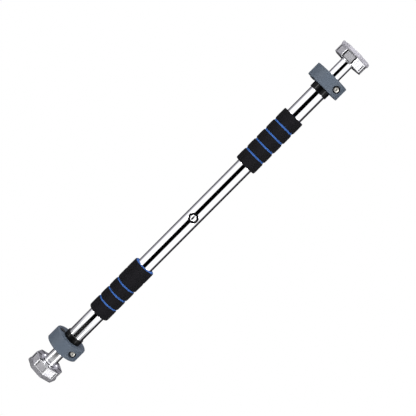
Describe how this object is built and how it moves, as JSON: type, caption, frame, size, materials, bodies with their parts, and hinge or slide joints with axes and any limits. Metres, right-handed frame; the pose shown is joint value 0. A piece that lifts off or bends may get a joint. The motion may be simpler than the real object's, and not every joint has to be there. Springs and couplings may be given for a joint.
{
  "type": "pull up bar",
  "caption": "Telescopic doorway pull-up bar: chromed tube with two foam grips, a locking collar at each end and screw-out eight-sided feet with rubber pads.",
  "frame": {"origin": "on the bar's axis, at the middle of its length", "axes": "+X along the bar, +Z towards the collar screws, -Y towards the screws' side of the collars"},
  "size_m": [0.8258, 0.069, 0.0642],
  "materials": {
    "chrome": "bright chrome plate on steel",
    "black_plastic": "glossy black moulding",
    "slate_plastic": "satin slate-grey moulding",
    "black_foam": "closed-cell foam, matt",
    "blue_foam": "closed-cell foam, matt",
    "grey_rubber": "soft grey rubber",
    "bright_steel": "zinc-plated steel",
    "black_steel": "blackened steel",
    "nylon": "natural nylon"
  },
  "bodies": {
    "bar": {"main_tube": "chrome", "centre_plug": "nylon", "centre_washer": "black_plastic", "centre_screw": "chrome", "right_grip_core": "blue_foam", "right_grip_skin": "black_foam", "right_end_bush": "black_plastic", "right_drive_nut": "bright_steel", "left_grip_core": "blue_foam", "left_grip_skin": "black_foam", "left_end_bush": "black_plastic", "left_drive_nut": "bright_steel"},
    "right_collar": {"right_clamp_front": "slate_plastic", "right_hinge_pin": "black_steel"},
    "right_jaw": {"right_clamp_back": "slate_plastic"},
    "right_screw": {"right_lock_screw": "bright_steel"},
    "right_nut": {"right_lock_nut": "bright_steel"},
    "right_slider": {"right_inner_tube": "chrome", "right_lead_screw": "bright_steel", "right_lead_stop": "bright_steel", "right_tube_plug": "nylon", "right_foot": "chrome", "right_foot_screw": "bright_steel", "right_pad": "grey_rubber"},
    "left_collar": {"left_clamp_front": "slate_plastic", "left_hinge_pin": "black_steel"},
    "left_jaw": {"left_clamp_back": "slate_plastic"},
    "left_screw": {"left_lock_screw": "bright_steel"},
    "left_nut": {"left_lock_nut": "bright_steel"},
    "left_slider": {"left_inner_tube": "chrome", "left_lead_screw": "bright_steel", "left_lead_stop": "bright_steel", "left_tube_plug": "nylon", "left_foot": "chrome", "left_foot_screw": "bright_steel", "left_pad": "grey_rubber"}
  },
  "joints": [
    {"name": "right_collar_turn", "type": "hinge", "parent": "bar", "child": "right_collar", "pos_m": [0.3414, 0, 0], "axis": [1, 0, 0], "range_deg": [-2015, 4679]},
    {"name": "right_foot_slide", "type": "slide", "parent": "right_collar", "child": "right_slider", "axis": [1, 0, 0], "range_m": [-0.028, 0.065]},
    {"name": "right_screw_turn", "type": "hinge", "parent": "right_collar", "child": "right_screw", "pos_m": [0.3414, -0.02, 0], "axis": [0, 0, 1], "range_deg": [0, 450]},
    {"name": "right_nut_slide", "type": "slide", "parent": "right_collar", "child": "right_nut", "axis": [0, 0, -1], "range_m": [0, 0.00101]},
    {"name": "right_jaw_open", "type": "hinge", "parent": "right_collar", "child": "right_jaw", "pos_m": [0.3414, 0.0245, 0], "axis": [1, 0, 0], "range_deg": [0, 1.09]},
    {"name": "left_collar_turn", "type": "hinge", "parent": "bar", "child": "left_collar", "pos_m": [-0.3414, 0, 0], "axis": [1, 0, 0], "range_deg": [-2015, 4679]},
    {"name": "left_foot_slide", "type": "slide", "parent": "left_collar", "child": "left_slider", "axis": [-1, 0, 0], "range_m": [-0.028, 0.065]},
    {"name": "left_screw_turn", "type": "hinge", "parent": "left_collar", "child": "left_screw", "pos_m": [-0.3414, -0.02, 0], "axis": [0, 0, 1], "range_deg": [0, 450]},
    {"name": "left_nut_slide", "type": "slide", "parent": "left_collar", "child": "left_nut", "axis": [0, 0, -1], "range_m": [0, 0.00101]},
    {"name": "left_jaw_open", "type": "hinge", "parent": "left_collar", "child": "left_jaw", "pos_m": [-0.3414, 0.0245, 0], "axis": [1, 0, 0], "range_deg": [0, 1.09]}
  ],
  "couplings": [
    {"joint": "right_foot_slide", "follows": "right_collar_turn", "m_per_rad": 0.00079577},
    {"joint": "right_nut_slide", "follows": "right_jaw_open", "m_per_rad": 0.052353},
    {"joint": "right_screw_turn", "follows": "right_jaw_open", "ratio": 411.18},
    {"joint": "left_foot_slide", "follows": "left_collar_turn", "m_per_rad": 0.00079577},
    {"joint": "left_nut_slide", "follows": "left_jaw_open", "m_per_rad": 0.052353},
    {"joint": "left_screw_turn", "follows": "left_jaw_open", "ratio": 411.18}
  ]
}
